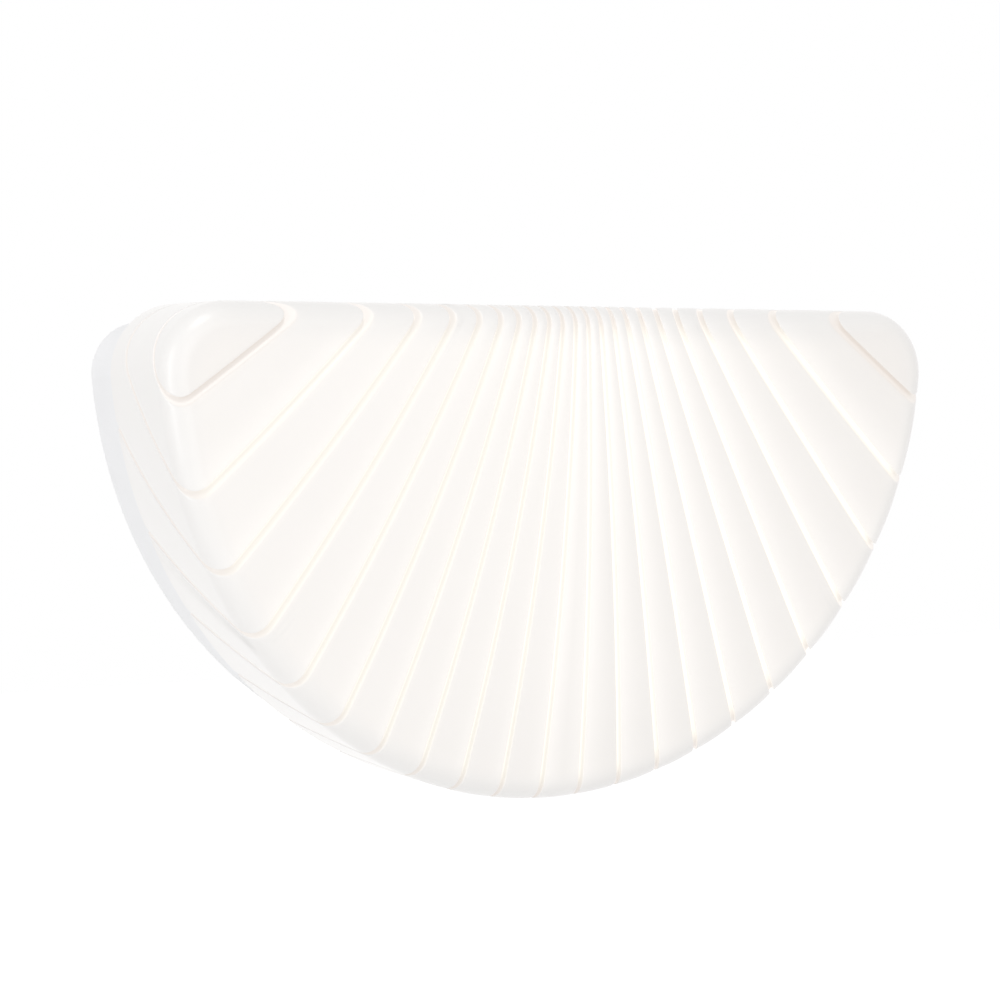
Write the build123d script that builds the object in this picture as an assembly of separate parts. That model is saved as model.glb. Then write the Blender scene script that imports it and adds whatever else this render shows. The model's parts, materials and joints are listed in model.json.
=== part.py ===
from build123d import *
import os
from math import atan2, cos, degrees, hypot, pi, radians, sin

# Shell wall sconce: a lit, ribbed half-moon shade that slips over a half-moon sheet-steel canopy,
# which is bolted to a crossbar on the wall. Millimetres. The wall is the plane y = 0, the light
# faces -Y and +Z is up. The origin is midway between the crossbar's two slots, on the wall.
# "out" is the distance of a point from the wall, so y = -out.

# ---- shade, seen from the front -------------------------------------------------------------
half_width = 150.0            # half of the widest part of the half-moon
bottom_drop = 160.0           # from the widest line down to the lowest point
shoulder = 10.5               # from the flat top edge down to the widest line
corner_radius = 23.0          # the two upper corners
top_height = 70.0             # flat top edge above the origin

# ---- shade, seen from the side --------------------------------------------------------------
shade_back = 33.5             # distance of the shade's open back from the wall
shade_depth = 51.0            # open back to the peak of the crown
edge_radius = 8.2             # rounding between the crowned front and the rim
crown_width_radius = 6300.0   # the front is barely crowned across
crown_height_radius = 912.0   # and falls back towards the bottom
crown_peak_drop = 6.0         # peak of the crown below the flat top edge
shade_wall = 5.0

# ---- shell ribs: slots cut by planes that fan out about a leaning spine in front of the shade ---
slice_count = 23
slice_angle = 6.417           # angle from one slot to the next, about the spine
spine_lean = 31.8             # the spine leans back from the vertical by this angle
spine_stand_off = 47.5        # spine in front of the crown's peak, at the height of the top edge
slot_width = 1.6
slot_depth = 2.5

# ---- helper solids --------------------------------------------------------------------------
past = 1.0                    # how far a cut reaches past the faces that it cuts
cutter_margin = 20.0          # how far the shade's cutting blocks reach past it

# ---- magnets that hold the shade ------------------------------------------------------------
magnet_radius = 5.0
magnet_thickness = 3.0
magnet_gap = 0.3              # air gap between the magnets and the steel deck
boss_wall = 1.6
boss_depth = 7.0
boss_sink = 2.0               # how far a boss reaches into the shade's wall
top_boss_x = 96.0
side_boss_angle = 56.0        # side bosses, measured down from the widest line

# ---- canopy ---------------------------------------------------------------------------------
slip_gap = 0.5                # between the shade's wall and the canopy's skirt
lap = 8.0                     # how far the shade slips over the canopy
sheet = 1.2
canopy_bend = 2.6             # outside radius where the skirt turns into the deck

# ---- crossbar on the wall -------------------------------------------------------------------
bar_thickness = 1.5
bar_height = 26.0
bar_flat_half = 58.0          # half-length of the stretch that lies on the wall
bar_step = 5.0                # how far the two ends stand off the wall
bar_ramp = 6.0                # length of each ramp
bar_end_length = 13.0
bar_corner_radius = 3.5
slot_spacing = 80.0           # wall screw slots, centre to centre
wall_slot_length = 24.0       # end to end
wall_slot_radius = 2.3
cable_hole_radius = 10.0

# ---- studs and nuts -------------------------------------------------------------------------
stud_from_tip = 9.0           # from the crossbar's tip
stud_radius = 1.95
stud_hole_radius = 2.25
stud_back = 1.0               # rear end of a stud, out from the wall
locknut_flats = 7.0
locknut_thickness = 3.2
washer_radius = 4.5
washer_thickness = 0.8
cap_nut_flats = 7.0
cap_nut_hex = 4.5
cap_nut_wall = 1.2            # metal over the end of the stud
stud_reach = 7.0              # stud beyond the washer
thread_gap = 0.05             # radial gap between a shank and its hole
round_share = 0.6             # rounding of a screw head or a flange, as a share of its height

# ---- light board ----------------------------------------------------------------------------
pad_thickness = 0.5
board_thickness = 1.6
board_inset = 24.0            # board edge inside the shade's outline
board_corner_radius = 12.0
pad_margin = 1.0              # pad edge inside the board's edge
nut_window_radius = 7.0
led_pitch = 19.0
led_size = 3.0
led_thickness = 0.7
led_edge_margin = 7.0
led_clearance = 3.0           # least distance from a lamp to a hole, screw head or connector
board_screw_x = 96.0
board_screw_rows = (26.0, -22.0)
board_screw_low_x = 40.0
board_screw_low_z = -66.0

# ---- machine screws -------------------------------------------------------------------------
screw_radius = 1.45
screw_head_radius = 2.8
screw_head_height = 1.9
cross_width = 0.8
cross_depth = 1.0

# ---- driver ---------------------------------------------------------------------------------
driver_half_length = 48.0
driver_height = 36.0
driver_thickness = 18.0
driver_radius = 2.0
driver_top_gap = 8.0          # below the canopy's upper skirt
lid_thickness = 2.0
ear_length = 9.0
ear_thickness = 2.5
ear_screw_from_top = 7.0

# ---- wiring ---------------------------------------------------------------------------------
lead_radius = 1.1
thin_lead_radius = 0.9
lead_level = 5.8              # centre line of the leads behind the deck
lead_entry = 5.0              # how far a lead goes into the driver or a terminal
bore_gap = 0.1                # radial gap between a lead and its hole
thin_lead_pitch = 2.4
grommet_bore = 3.0
grommet_hole_radius = 4.5
grommet_flange_radius = 6.2
grommet_flange = 1.4
grommet_drop = 6.0            # grommet below the middle of the driver
grommet_gap = 1.5             # between the grommet and the driver's ear
grommet_window_radius = 7.5
connector_length = 9.0
connector_width = 7.0
connector_height = 4.6
connector_gap = 10.0          # from the grommet's middle to the connector
connector_mouth = 0.4         # how far a lead goes into the connector
connector_radius = 0.6
connector_slot_depth = 1.0
terminal_x = 28.0
terminal_z = -36.0
pole_pitch = 10.0
pole_count = 3
terminal_width = 18.0
terminal_height = 14.0
clamp_radius = 1.9
clamp_height = 3.0
clamp_offset = 5.0
clamp_well = 5.5
terminal_radius = 1.0
pole_groove = 1.0
clip_length = 6.0
clip_wall = 1.4
clip_gap = 3.0                # between the clip and the driver
clip_radius = 0.8
clip_lead_beyond = (7.0, 11.0)    # brown and blue lead in the clip, beyond the driver's end
input_lead_drops = (4.0, -2.0)    # brown and blue lead below the middle of the driver
clip_exit = (2.3, 8.3)        # each one's bend below the clip
terminal_entry = (23.0, 15.0)     # and its bend above the terminal block
lead_bend = 3.6               # radius of a lead's bends, on its centre line
thin_lead_bend = 4.4
earth_x = 72.0
earth_z = -17.0
lug_radius = 4.0
lug_thickness = 0.8
lug_barrel_length = 6.0
lug_barrel_wall = 0.35
lug_overlap = 1.0             # of the barrel with the eye
bar_earth_x = -19.0
bar_earth_screw_radius = 1.95
bar_earth_head_radius = 3.6

# ---- worked out from the sizes above --------------------------------------------------------
shade_front = shade_back + shade_depth
deck_front = shade_back + lap
deck_back = deck_front - sheet
canopy_inset = shade_wall + slip_gap
widest_z = top_height - shoulder
bar_tip = bar_flat_half + bar_ramp + bar_end_length
stud_x = bar_tip - stud_from_tip
board_back = deck_front + pad_thickness
board_front = board_back + board_thickness
lead_out = deck_back - lead_level
driver_top = top_height - canopy_inset - sheet - driver_top_gap
driver_z = driver_top - driver_height / 2
ear_screw_z = driver_top - ear_screw_from_top
ear_screw_x = driver_half_length + ear_length / 2
grommet_x = -(driver_half_length + ear_length + grommet_gap + grommet_flange_radius)
grommet_z = driver_z - grommet_drop
clip_z = driver_z - driver_height / 2 - clip_gap - clip_length / 2
connector_x = grommet_x + connector_gap + connector_length / 2
connector_level = board_front + connector_height / 2
cutter_reach = half_width + cutter_margin
slot_angles = [(k - slice_count / 2 + 1) * slice_angle for k in range(slice_count - 1)]


def at(x, out, z):
    """Point at a distance out from the wall."""
    return Vector(x, -out, z)


def facing(x, out, z):
    """Plane at a point, whose local Z looks away from the wall and local X along +X."""
    return Plane(origin=at(x, out, z), x_dir=(1, 0, 0), z_dir=(0, -1, 0))


def disc(x, z, radius, out_from, out_to):
    """Round bar square to the wall."""
    bar = Cylinder(radius, out_to - out_from, align=(Align.CENTER, Align.CENTER, Align.MIN))
    return facing(x, out_from, z) * bar


def block(x, z, width, height, out_from, out_to, radius=0.0):
    """Box square to the wall, with its four long edges rounded."""
    solid = Box(width, height, out_to - out_from, align=(Align.CENTER, Align.CENTER, Align.MIN))
    if radius:
        solid = fillet(solid.edges().filter_by(Axis.Z), radius)
    return facing(x, out_from, z) * solid


def group(solids):
    """Separate identical pieces kept under one name."""
    return Compound(children=[s.solid() for s in solids])


# ---- half-moon forms ------------------------------------------------------------------------
halvings = 50                 # steps that narrow down an angle


def half_moon(inset, corner):
    """The half-moon outline drawn in by inset: flat top, two round corners and an elliptical
    lower edge, all tangent. Its plane is the wall."""
    a, b, top = half_width - inset, bottom_drop - inset, top_height - inset
    low, high = -pi / 2, 0.0
    for _ in range(halvings):     # where the corner arc meets the ellipse, at one common normal
        turn = (low + high) / 2
        nx, nz = cos(turn) / a, sin(turn) / b
        nx, nz = nx / hypot(nx, nz), nz / hypot(nx, nz)
        if widest_z + b * sin(turn) - corner * nz > top - corner:
            high = turn
        else:
            low = turn
    end = (a * cos(turn), widest_z + b * sin(turn))
    centre = (end[0] - corner * nx, end[1] - corner * nz)
    half = (atan2(nz, nx) + pi / 2) / 2
    middle = (centre[0] + corner * cos(half), centre[1] + corner * sin(half))
    with BuildSketch(Plane.XZ) as sketch:
        with BuildLine():
            Line((-centre[0], top), (centre[0], top))
            ThreePointArc((centre[0], top), middle, end)
            EllipticalCenterArc((0, widest_z), a, b, start_angle=180 - degrees(turn),
                                arc_size=180 + 2 * degrees(turn))
            ThreePointArc((-end[0], end[1]), (-middle[0], middle[1]), (-centre[0], top))
        make_face()
    return sketch.sketch


def half_moon_slab(inset, corner, out_from, out_to):
    """The half-moon outline as a slab between two distances from the wall."""
    return extrude(Pos(0, -out_from, 0) * half_moon(inset, corner), amount=out_to - out_from)


def crown(inset):
    """Solid behind the crowned front: an arc across the front, turned about a level axis."""
    face, root = shade_front - inset, shade_front - crown_height_radius
    sag = cutter_reach ** 2 / (2 * crown_width_radius)
    height = top_height - crown_peak_drop
    with BuildSketch(Plane.XY.offset(height)) as sketch:
        with BuildLine():
            Polyline((-cutter_reach, sag - face), (-cutter_reach, 2 * shade_depth - face),
                     (cutter_reach, 2 * shade_depth - face), (cutter_reach, sag - face))
            ThreePointArc((cutter_reach, sag - face), (0, -face), (-cutter_reach, sag - face))
        make_face()
    axis = Axis(at(0, root, height), (1, 0, 0))
    turn = degrees(2 * bottom_drop / crown_height_radius)
    return revolve(sketch.sketch.rotate(axis, -turn / 4), axis, turn)


def shade_form(inset, out_from):
    """The shade's outer form drawn in by inset, from out_from to its crowned front."""
    slab = half_moon_slab(inset, corner_radius - inset, out_from, shade_front + edge_radius)
    form = (slab & crown(inset)).solid()
    front = [e for e in form.edges() if all(-v.Y > out_from + past for v in e.vertices())]
    return form.fillet(edge_radius - inset, front)


def fan_slabs(width):
    """One thin slab for each slot, all through the leaning spine, spread by equal angles."""
    lean = radians(spine_lean)
    along = Vector(0, sin(lean), cos(lean))
    inward = Vector(0, cos(lean), -sin(lean))
    foot = at(0, shade_front + spine_stand_off, top_height)
    spine = Axis(foot, along)
    span = 2 * (half_width + bottom_drop)
    middle = Plane(origin=foot + inward * (span / 2 - spine_stand_off / 2), x_dir=(1, 0, 0),
                   z_dir=along)
    return [(middle * Box(width, span, span)).rotate(spine, -turn) for turn in slot_angles]


# ---- shade ----------------------------------------------------------------------------------
def boss_places():
    """Middle of each magnet, beside the inside of the shade's wall."""
    reach = magnet_radius + boss_wall
    inside = shade_wall + reach - boss_sink
    turn = radians(side_boss_angle)
    side = ((half_width - inside) * cos(turn), widest_z - (bottom_drop - inside) * sin(turn))
    top = (top_boss_x, top_height - inside)
    return [(sign * x, z) for x, z in (top, side) for sign in (-1, 1)]


def make_shade():
    """Ribbed shell. The slots are worked out on the right half, which is then mirrored."""
    right = Pos(cutter_reach / 2, 0, 0) * Box(cutter_reach, 4 * cutter_reach, 4 * cutter_reach)
    form = shade_form(0, shade_back) & right
    floor = shade_form(slot_depth, shade_back - past)
    slots = [slab - floor for slab, turn in zip(fan_slabs(slot_width), slot_angles) if turn > 0]
    half = form.solid().cut(*slots)
    half = half - shade_form(shade_wall, shade_back - past)
    boss_back = deck_front + magnet_gap
    boss_limit = shade_form((shade_wall + slot_depth) / 2, shade_back)
    for x, z in boss_places():
        if x > 0:
            boss = disc(x, z, magnet_radius + boss_wall, boss_back, boss_back + boss_depth)
            pocket = disc(x, z, magnet_radius + thread_gap, boss_back - past,
                          boss_back + magnet_thickness)
            half = half + (boss & boss_limit)
            half = half - pocket
    return (half.solid() + half.solid().mirror(Plane.YZ)).solid()


def make_shade_magnets():
    back = deck_front + magnet_gap
    return group(disc(x, z, magnet_radius, back, back + magnet_thickness)
                 for x, z in boss_places())


# ---- canopy ---------------------------------------------------------------------------------
def board_screw_places():
    rows = [(sign * board_screw_x, z) for z in board_screw_rows for sign in (-1, 1)]
    return rows + [(sign * board_screw_low_x, board_screw_low_z) for sign in (-1, 1)]


def make_canopy():
    """Drawn steel canopy: a skirt from the wall and a deck under the shade."""
    corner = corner_radius - canopy_inset
    shell = half_moon_slab(canopy_inset, corner, 0, deck_front).solid()
    shell = shell.fillet(canopy_bend, shell.faces().sort_by(Axis.Y)[0].edges())
    hollow = half_moon_slab(canopy_inset + sheet, corner - sheet, -past, deck_back).solid()
    hollow = hollow.fillet(canopy_bend - sheet, hollow.faces().sort_by(Axis.Y)[0].edges())
    shell = shell - hollow
    pilots = board_screw_places() + [(terminal_x, terminal_z), (earth_x, earth_z)]
    pilots += [(sign * ear_screw_x, ear_screw_z) for sign in (-1, 1)]
    holes = [disc(x, z, screw_radius + thread_gap, deck_back - past, deck_front + past) for x, z in pilots]
    holes += [disc(sign * stud_x, 0, stud_hole_radius, deck_back - past, deck_front + past)
              for sign in (-1, 1)]
    holes.append(disc(grommet_x, grommet_z, grommet_hole_radius, deck_back - past, deck_front + past))
    return shell.cut(*[h.solid() for h in holes])


# ---- crossbar, studs and nuts ---------------------------------------------------------------
def make_crossbar():
    """Pressed steel strap: flat on the wall in the middle, stepped off it at both ends."""
    right = [(bar_flat_half, 0), (bar_flat_half + bar_ramp, bar_step), (bar_tip, bar_step)]
    left = [(-x, out) for x, out in reversed(right)]
    back = left + right
    front = [(x, out + bar_thickness) for x, out in reversed(back)]
    with BuildSketch(Plane.XY) as profile:
        Polygon(*[(x, -out) for x, out in back + front], align=None)
        bends = [v for v in profile.vertices() if abs(v.X) < bar_tip - past]
        fillet(bends, bar_thickness)
    strap = extrude(profile.sketch, amount=bar_height / 2, both=True)
    ends = [e for e in strap.edges().filter_by(Axis.Y) if abs(e.center().X) > bar_tip - past]
    strap = fillet(ends, bar_corner_radius)
    cuts = [disc(0, 0, cable_hole_radius, -past, bar_step),
            disc(bar_earth_x, 0, bar_earth_screw_radius + thread_gap, -past, bar_step)]
    for sign in (-1, 1):
        slot = extrude(SlotOverall(wall_slot_length, 2 * wall_slot_radius), amount=bar_step + past)
        cuts.append(facing(sign * slot_spacing / 2, -past, 0) * slot)
        cuts.append(disc(sign * stud_x, 0, stud_radius + thread_gap, -past, 3 * bar_step))
    return strap.cut(*[c.solid() for c in cuts])


def stud_end():
    return deck_front + washer_thickness + stud_reach


def make_studs():
    studs = []
    for sign in (-1, 1):
        stud = disc(sign * stud_x, 0, stud_radius, stud_back, stud_end())
        studs.append(chamfer(stud.edges().filter_by(GeomType.CIRCLE), stud_radius / 4))
    return group(studs)


def hexagon(x, z, flats, out_from, out_to):
    """Hexagonal prism square to the wall."""
    prism = extrude(RegularPolygon(flats / 2, 6, major_radius=False), amount=out_to - out_from)
    return facing(x, out_from, z) * prism


def make_locknuts():
    """Hexagon nuts that lock the studs in the crossbar."""
    seat = bar_step + bar_thickness
    nuts = []
    for sign in (-1, 1):
        nut = hexagon(sign * stud_x, 0, locknut_flats, seat, seat + locknut_thickness)
        nuts.append(nut - disc(sign * stud_x, 0, stud_radius + thread_gap, 0, 3 * seat))
    return group(nuts)


def make_washers():
    rings = []
    for sign in (-1, 1):
        ring = disc(sign * stud_x, 0, washer_radius, deck_front, deck_front + washer_thickness)
        rings.append(ring - disc(sign * stud_x, 0, stud_hole_radius, deck_back, 2 * deck_front))
    return group(rings)


def make_cap_nuts():
    """Hexagon nuts with a dome over the end of the stud."""
    seat = deck_front + washer_thickness
    dome = stud_radius + thread_gap + cap_nut_wall
    nuts = []
    for sign in (-1, 1):
        x = sign * stud_x
        nut = hexagon(x, 0, cap_nut_flats, seat, seat + cap_nut_hex)
        nut = nut + disc(x, 0, dome, seat, stud_end())
        nut = nut + (facing(x, stud_end(), 0) * Sphere(dome) - disc(x, 0, 2 * dome, 0, seat))
        nuts.append(nut - disc(x, 0, stud_radius + thread_gap, seat - past, stud_end() + thread_gap))
    return group(nuts)


# ---- screws ---------------------------------------------------------------------------------
def screw(x, z, under_head, tip, radius=screw_radius, head_radius=screw_head_radius):
    """Cross-head screw square to the wall, from under its head to its tip. The head stands on
    the side away from the tip."""
    away = 1 if under_head > tip else -1
    head_end = under_head + away * screw_head_height
    head = disc(x, z, head_radius, min(under_head, head_end), max(under_head, head_end))
    crown_edge = head.edges().filter_by(GeomType.CIRCLE).sort_by(Axis.Y)[0 if away > 0 else -1]
    head = fillet(crown_edge, screw_head_height * round_share)
    for width, height in ((head_radius, cross_width), (cross_width, head_radius)):
        low, high = sorted((head_end - away * cross_depth, head_end + away * past))
        head = head - block(x, z, width, height, low, high)
    shank = disc(x, z, radius, min(under_head, tip), max(under_head, tip))
    end = shank.edges().filter_by(GeomType.CIRCLE).sort_by(Axis.Y)[-1 if away > 0 else 0]
    return head + chamfer(end, radius / 3)


def make_board_screws():
    return group(screw(x, z, board_front, deck_back) for x, z in board_screw_places())


def make_driver_screws():
    seat = deck_back - ear_thickness
    return group(screw(sign * ear_screw_x, ear_screw_z, seat, deck_front) for sign in (-1, 1))


def make_crossbar_earth_screw():
    return screw(bar_earth_x, 0, bar_thickness, thread_gap, bar_earth_screw_radius,
                 bar_earth_head_radius)


# ---- light board ----------------------------------------------------------------------------
def windows(out_from, out_to):
    """Holes through the board and its pad for the nuts and the grommet."""
    holes = [disc(sign * stud_x, 0, nut_window_radius, out_from, out_to) for sign in (-1, 1)]
    return holes + [disc(grommet_x, grommet_z, grommet_window_radius, out_from, out_to)]


def make_thermal_pad():
    inset = board_inset + pad_margin
    pad = half_moon_slab(inset, board_corner_radius - pad_margin, deck_front, board_back)
    holes = windows(deck_front - past, board_back + past)
    holes += [disc(x, z, screw_head_radius, deck_front - past, board_back + past)
              for x, z in board_screw_places()]
    return pad.solid().cut(*[h.solid() for h in holes])


def make_led_board():
    board = half_moon_slab(board_inset, board_corner_radius, board_back, board_front)
    holes = windows(board_back - past, board_front + past)
    holes += [disc(x, z, screw_radius + bore_gap, board_back - past, board_front + past)
              for x, z in board_screw_places()]
    return board.solid().cut(*[h.solid() for h in holes])


def led_places():
    """Square grid over the board, clear of its edge and of everything that is fixed on it."""
    keep_out = [(x, z, screw_head_radius) for x, z in board_screw_places()]
    keep_out += [(sign * stud_x, 0, nut_window_radius) for sign in (-1, 1)]
    keep_out.append((grommet_x, grommet_z, grommet_window_radius))
    keep_out.append((connector_x, grommet_z, hypot(connector_length, connector_width) / 2))
    inset = board_inset + led_edge_margin
    a, b = half_width - inset, bottom_drop - inset
    top = top_height - inset
    columns = int(a / led_pitch)
    rows = int((top - widest_z + b) / led_pitch) + 1
    places = []
    for row in range(rows):
        for column in range(-columns, columns + 1):
            x, z = column * led_pitch, top - row * led_pitch
            inside = (x / a) ** 2 + ((z - widest_z) / b) ** 2 < 1
            clear = all(hypot(x - u, z - v) > r + led_size / 2 + led_clearance
                        for u, v, r in keep_out)
            if inside and clear:
                places.append((x, z))
    return places


def make_led_packages():
    return group(block(x, z, led_size, led_size, board_front, board_front + led_thickness)
                 for x, z in led_places())


# ---- driver ---------------------------------------------------------------------------------
def make_driver_case():
    """Potted plastic case with a flat ear at each end and round mouths for the leads."""
    case_back = deck_back - driver_thickness
    case = block(0, driver_z, 2 * driver_half_length, driver_height, case_back, deck_back,
                 driver_radius)
    ears = block(0, driver_z, 2 * (driver_half_length + ear_length), driver_height,
                 deck_back - ear_thickness, deck_back, driver_radius)
    case = case + ears
    cuts = [disc(sign * ear_screw_x, ear_screw_z, screw_radius + bore_gap, 0, 2 * deck_back)
            for sign in (-1, 1)]
    for z, radius, side in driver_leads():
        mouth = Cylinder(radius + bore_gap, lead_entry + past,
                         align=(Align.CENTER, Align.CENTER, Align.MIN))
        start = at(side * (driver_half_length + past), lead_out, z)
        cuts.append(Plane(origin=start, z_dir=(-side, 0, 0)) * mouth)
    return case.solid().cut(*[c.solid() for c in cuts])


def make_driver_lid():
    """Snap-on lid on the wall side of the driver, with a raised rib round its edge."""
    seat = deck_back - driver_thickness
    lid = block(0, driver_z, 2 * driver_half_length, driver_height, seat - lid_thickness, seat,
                driver_radius)
    recess = block(0, driver_z, 2 * driver_half_length - 4 * lid_thickness,
                   driver_height - 4 * lid_thickness, seat - lid_thickness - past,
                   seat - lid_thickness / 2, driver_radius)
    return (lid - recess).solid()


# ---- wiring ---------------------------------------------------------------------------------
output_z = [grommet_z + thin_lead_pitch / 2, grommet_z - thin_lead_pitch / 2]
input_z = [driver_z - drop for drop in input_lead_drops]
pole_x = [terminal_x + (k - (pole_count - 1) / 2) * pole_pitch for k in range(pole_count)]
terminal_top = terminal_z + terminal_width / 2
clip_x = [driver_half_length + beyond for beyond in clip_lead_beyond]


def driver_leads():
    """Height, radius and side of every lead that leaves the driver."""
    outputs = [(z, thin_lead_radius, -1) for z in output_z]
    return outputs + [(z, lead_radius, 1) for z in input_z]


def lead(points, radius, bends):
    """Round lead along straight runs joined by tangent arcs."""
    path = FilletPolyline(*points, radius=bends)
    start = Plane(origin=path @ 0, z_dir=path % 0)
    return sweep(start * Circle(radius), path=path).solid()


def make_output_lead(z):
    """From the driver through the grommet to the connector on the light board."""
    end_x = grommet_x + connector_gap + connector_mouth
    points = [at(-driver_half_length + lead_entry, lead_out, z), at(grommet_x, lead_out, z),
              at(grommet_x, connector_level, z), at(end_x, connector_level, z)]
    return lead(points, thin_lead_radius, thin_lead_bend)


def make_input_lead(index):
    """From the driver, through the clip and down into its terminal."""
    z, x, pole = input_z[index], clip_x[index], pole_x[index]
    upper = clip_z - clip_length / 2 - clip_exit[index]
    lower = terminal_top + terminal_entry[index]
    points = [at(driver_half_length - lead_entry, lead_out, z), at(x, lead_out, z),
              at(x, lead_out, upper), at(pole, lead_out, lower),
              at(pole, lead_out, terminal_top - lead_entry)]
    return lead(points, lead_radius, lead_bend)


def barrel_start():
    return earth_x - lug_radius - lug_barrel_length + lug_overlap


def lug_level():
    """Distance out of the middle of the lug's barrel."""
    return deck_back - lead_radius - bore_gap - lug_barrel_wall


def make_earth_lead():
    """From the last terminal to the crimped lug on the deck."""
    pole = pole_x[-1]
    ramp_x = (pole + barrel_start()) / 2
    points = [at(pole, lead_out, terminal_top - lead_entry), at(pole, lead_out, earth_z),
              at(ramp_x, lug_level(), earth_z),
              at(barrel_start() + lug_barrel_length - lug_overlap, lug_level(), earth_z)]
    return lead(points, lead_radius, lead_bend)


def make_earth_lug():
    """Ring lug: a flat eye under its screw and a barrel crimped on the lead."""
    eye = disc(earth_x, earth_z, lug_radius, deck_back - lug_thickness, deck_back)
    middle = Plane(origin=at(barrel_start(), lug_level(), earth_z), z_dir=(1, 0, 0))
    outer = Cylinder(lead_radius + bore_gap + lug_barrel_wall, lug_barrel_length,
                     align=(Align.CENTER, Align.CENTER, Align.MIN))
    inner = Cylinder(lead_radius + bore_gap, 2 * lug_barrel_length)
    neck = block(earth_x - lug_radius, earth_z, lug_radius, 2 * lead_radius,
                 deck_back - lug_thickness, deck_back)
    lug = eye + neck + middle * outer
    lug = lug - middle * inner
    return (lug - disc(earth_x, earth_z, screw_radius + bore_gap, 0, 2 * deck_back)).solid()


def make_earth_screw():
    return screw(earth_x, earth_z, deck_back - lug_thickness, deck_front)


def make_grommet():
    """Rubber ring that snaps into the deck and lines the hole for the leads."""
    ring = disc(grommet_x, grommet_z, grommet_flange_radius, deck_back - grommet_flange,
                deck_front + grommet_flange)
    edges = ring.edges().filter_by(GeomType.CIRCLE)
    ring = fillet(edges, grommet_flange * round_share)
    groove = disc(grommet_x, grommet_z, 2 * grommet_flange_radius, deck_back, deck_front)
    groove = groove - disc(grommet_x, grommet_z, grommet_hole_radius - thread_gap, deck_back,
                           deck_front)
    return (ring - groove - disc(grommet_x, grommet_z, grommet_bore, 0, 2 * deck_front)).solid()


def make_connector():
    """Push-in connector soldered on the light board, open towards the grommet."""
    body = block(connector_x, grommet_z, connector_length, connector_width, board_front,
                 board_front + connector_height, connector_radius)
    for z in output_z:
        mouth = Cylinder(thin_lead_radius + bore_gap, 2 * (connector_mouth + past))
        start = at(connector_x - connector_length / 2, connector_level, z)
        body = body - Plane(origin=start, z_dir=(1, 0, 0)) * mouth
    for z in output_z:
        body = body - block(connector_x, z, connector_length / 2, thin_lead_radius,
                            board_front + connector_height - connector_slot_depth,
                            board_front + 2 * connector_height)
    return body.solid()


def clamp_places():
    """Middle of each clamping screw of the terminal block."""
    return [(x, terminal_z + sign * clamp_offset) for x in pole_x for sign in (-1, 1)]


def make_terminal_block():
    """Three-pole block with a screw well and a wire mouth at each end of every pole."""
    back = deck_back - terminal_height
    body = block(terminal_x, terminal_z, pole_count * pole_pitch, terminal_width, back, deck_back,
                 terminal_radius)
    cuts = [disc(x, z, clamp_radius + bore_gap, back - past, back + clamp_well)
            for x, z in clamp_places()]
    for x in pole_x:
        mouth = Cylinder(lead_radius + bore_gap, lead_entry + past,
                         align=(Align.CENTER, Align.CENTER, Align.MIN))
        for sign in (-1, 1):
            start = at(x, lead_out, terminal_z + sign * (terminal_width / 2 + past))
            cuts.append(Plane(origin=start, z_dir=(0, 0, -sign)) * mouth)
    for k in range(pole_count - 1):
        x = pole_x[k] + pole_pitch / 2
        cuts.append(block(x, terminal_z, pole_groove, 2 * terminal_width, back - past,
                          back + clamp_well / 2))
    body = body.solid().cut(*[c.solid() for c in cuts])
    return (body - terminal_hole()).solid()


def terminal_hole():
    """Hole and counterbore for the screw that fixes the terminal block."""
    seat = deck_back - terminal_height / 2
    hole = disc(terminal_x, terminal_z, screw_radius + bore_gap, 0, 2 * deck_back)
    return hole + disc(terminal_x, terminal_z, screw_head_radius + bore_gap, 0, seat)


def make_terminal_screw():
    return screw(terminal_x, terminal_z, deck_back - terminal_height / 2, deck_front)


def make_clamp_screws():
    """Slotted screws at the bottom of the terminal block's wells."""
    floor = deck_back - terminal_height + clamp_well
    screws = []
    for x, z in clamp_places():
        body = disc(x, z, clamp_radius, floor - clamp_height, floor)
        notch = block(x, z, 3 * clamp_radius, cross_width, floor - clamp_height - past,
                      floor - clamp_height + cross_depth)
        screws.append(body - notch)
    return group(screws)


def make_lead_clip():
    """Nylon clip stuck on the deck, which holds the two input leads."""
    middle = sum(clip_x) / 2
    width = clip_x[1] - clip_x[0] + 2 * (lead_radius + bore_gap + clip_wall)
    back = lead_out - lead_radius - bore_gap - clip_wall
    body = block(middle, clip_z, width, clip_length, back, deck_back, clip_radius)
    for x in clip_x:
        bore = Cylinder(lead_radius + bore_gap, 2 * clip_length)
        body = body - Pos(*at(x, lead_out, clip_z)) * bore
    return body.solid()


# ---- all the pieces -------------------------------------------------------------------------
makers = {
    "shade": make_shade,
    "shade_magnets": make_shade_magnets,
    "canopy": make_canopy,
    "crossbar": make_crossbar,
    "crossbar_earth_screw": make_crossbar_earth_screw,
    "studs": make_studs,
    "stud_locknuts": make_locknuts,
    "stud_washers": make_washers,
    "cap_nuts": make_cap_nuts,
    "thermal_pad": make_thermal_pad,
    "led_board": make_led_board,
    "led_packages": make_led_packages,
    "board_screws": make_board_screws,
    "board_connector": make_connector,
    "lead_grommet": make_grommet,
    "output_lead_red": lambda: make_output_lead(output_z[0]),
    "output_lead_black": lambda: make_output_lead(output_z[1]),
    "driver_case": make_driver_case,
    "driver_lid": make_driver_lid,
    "driver_screws": make_driver_screws,
    "terminal_block": make_terminal_block,
    "terminal_clamp_screws": make_clamp_screws,
    "terminal_fixing_screw": make_terminal_screw,
    "input_lead_brown": lambda: make_input_lead(0),
    "input_lead_blue": lambda: make_input_lead(1),
    "earth_lead": make_earth_lead,
    "earth_lug": make_earth_lug,
    "earth_lug_screw": make_earth_screw,
    "lead_clip": make_lead_clip,
}

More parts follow.
